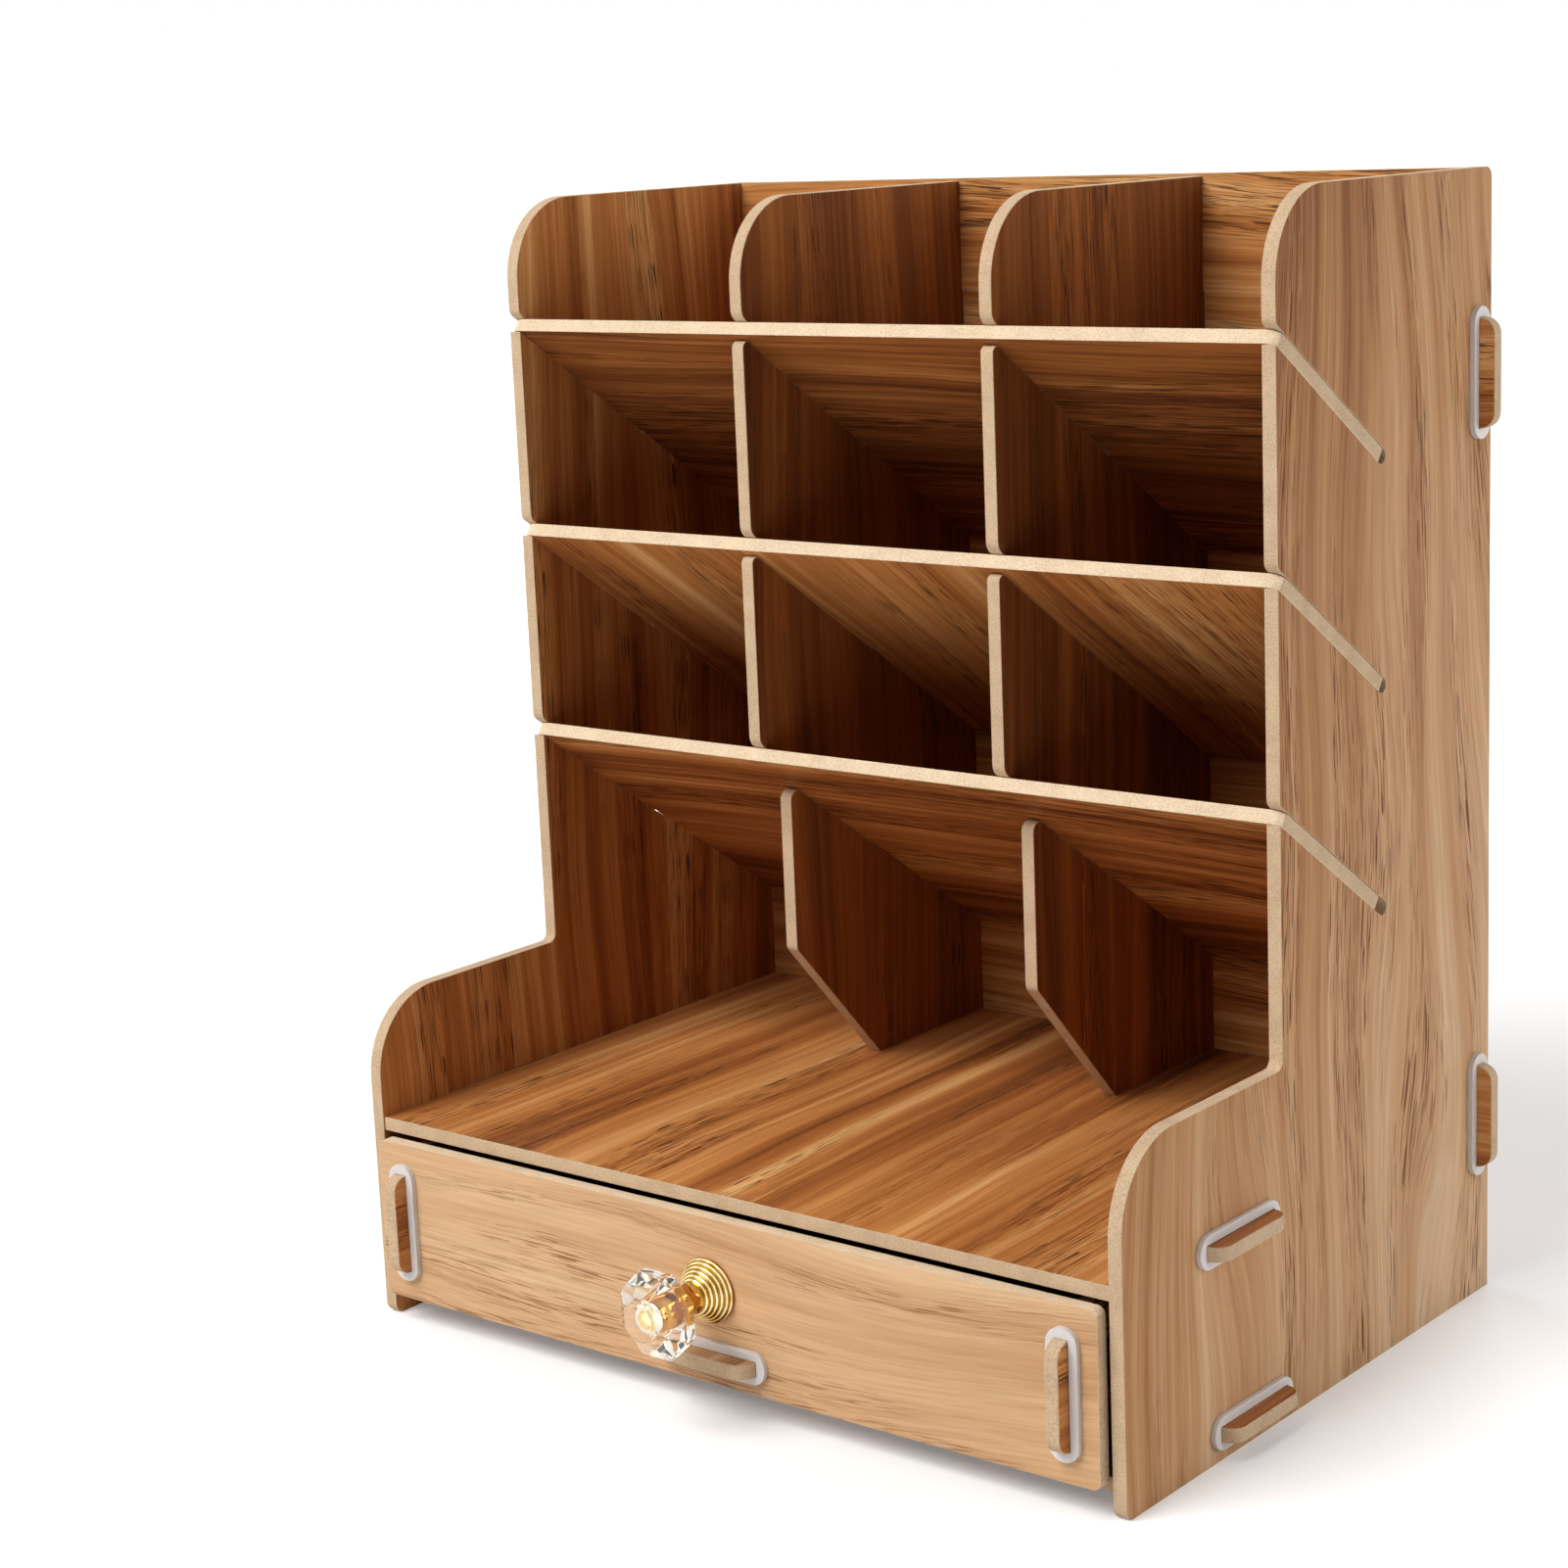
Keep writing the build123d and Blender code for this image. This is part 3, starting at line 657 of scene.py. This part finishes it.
# Stage: a pale floor, a white surround and soft studio lamps (metres and watts).
WHITE = (1.0, 1.0, 1.0, 1.0)
FLOOR_TONE = (0.82, 0.82, 0.82, 1.0)
FLOOR_REACH = 30.0
FLOOR_NEAR = 0.4
FLOOR_FAR = 1.6
FLOOR_NEAR_GLOW = 0.2
FLOOR_FAR_GLOW = 1.0
SURROUND_LIGHT = 0.15
SURROUND_SEEN = 1.0
Lamp = namedtuple("Lamp", "name place size power")
LAMPS = (
    Lamp("key", Vector((-0.6, -1.75, 2.1)), 1.7, 82.0),
    Lamp("right", Vector((2.0, 0.75, 0.95)), 1.4, 24.0),
    Lamp("left", Vector((-2.2, 0.4, 1.0)), 1.4, 18.0),
    Lamp("back", Vector((-0.5, 2.3, 1.5)), 1.6, 26.0),
)
LAMP_TARGET = Vector((0.0, 0.0, 0.14))


def seen_directly(tree_nodes, tree_links):
    """1 where a camera, mirror or glass ray arrives, 0 for the light that falls on the object."""
    path = tree_nodes.new("ShaderNodeLightPath")
    total = path.outputs["Is Camera Ray"]
    for key in ("Is Glossy Ray", "Is Transmission Ray"):
        joined = tree_nodes.new("ShaderNodeMath")
        joined.operation = "MAXIMUM"
        tree_links.new(total, joined.inputs[0])
        tree_links.new(path.outputs[key], joined.inputs[1])
        total = joined.outputs[0]
    return total


def floor_material(name):
    """Pale paper that fades into the white surround away from the object."""
    tree = Tree(name)
    place = tree.place()
    direct = seen_directly(tree.nodes, tree.links)
    rough = tree.uneven(tree.noise(place, scale=3.0, detail=2.0), low=0.85, high=0.95)
    fade = tree.span(tree.length(place), FLOOR_NEAR, FLOOR_FAR, FLOOR_NEAR_GLOW, FLOOR_FAR_GLOW)
    glow = tree.math("MULTIPLY", direct, fade)
    return tree.surface(
        Base_Color=FLOOR_TONE, Roughness=rough, Specular_IOR_Level=0.0,
        Emission_Color=WHITE, Emission_Strength=glow,
    )


floor_mesh = bpy.data.meshes.new("floor")
corners = [
    (side_x * FLOOR_REACH, side_y * FLOOR_REACH, 0.0)
    for side_x, side_y in ((-1, -1), (1, -1), (1, 1), (-1, 1))
]
floor_mesh.from_pydata(corners, [], [(0, 1, 2, 3)])
floor = bpy.data.objects.new("floor", floor_mesh)
bpy.context.scene.collection.objects.link(floor)
dress(floor, floor_material("floor_paper"))

world = bpy.data.worlds.new("studio")
world.use_nodes = True
bpy.context.scene.world = world
world_nodes = world.node_tree.nodes
world_links = world.node_tree.links
backdrop = world_nodes["Background"]
backdrop.inputs["Color"].default_value = WHITE
surround = world_nodes.new("ShaderNodeMapRange")
surround.inputs["To Min"].default_value = SURROUND_LIGHT
surround.inputs["To Max"].default_value = SURROUND_SEEN
world_links.new(seen_directly(world_nodes, world_links), surround.inputs["Value"])
world_links.new(surround.outputs["Result"], backdrop.inputs["Strength"])

for lamp in LAMPS:
    light = bpy.data.lights.new(lamp.name, "AREA")
    light.size = lamp.size
    light.energy = lamp.power
    holder = bpy.data.objects.new(lamp.name, light)
    holder.location = lamp.place
    holder.rotation_euler = (LAMP_TARGET - lamp.place).to_track_quat("-Z", "Y").to_euler()
    bpy.context.scene.collection.objects.link(holder)

# Camera, at the photograph's viewing angle (metres and radians, its lens in millimetres).
CAMERA_PLACE = Vector((0.53581, -0.695975, 0.34694))
CAMERA_AZIMUTH = math.radians(39.3585)
CAMERA_ELEVATION = math.radians(-12.1071)
CAMERA_ROLL = math.radians(-2.4524)
CAMERA_LENS = 73.78
CAMERA_SENSOR = 36.0

forward = Vector(
    (
        -math.sin(CAMERA_AZIMUTH) * math.cos(CAMERA_ELEVATION),
        math.cos(CAMERA_AZIMUTH) * math.cos(CAMERA_ELEVATION),
        math.sin(CAMERA_ELEVATION),
    )
)
level_right = forward.cross(Z_AXIS).normalized()
level_up = level_right.cross(forward)
right = math.cos(CAMERA_ROLL) * level_right + math.sin(CAMERA_ROLL) * level_up
up = math.cos(CAMERA_ROLL) * level_up - math.sin(CAMERA_ROLL) * level_right
camera_data = bpy.data.cameras.new("camera")
camera_data.lens = CAMERA_LENS
camera_data.sensor_width = CAMERA_SENSOR
camera = bpy.data.objects.new("camera", camera_data)
turn = Matrix((right, up, -forward)).transposed().to_4x4()
camera.matrix_world = Matrix.Translation(CAMERA_PLACE) @ turn
bpy.context.scene.collection.objects.link(camera)
bpy.context.scene.camera = camera
bpy.context.scene.view_settings.view_transform = "Standard"
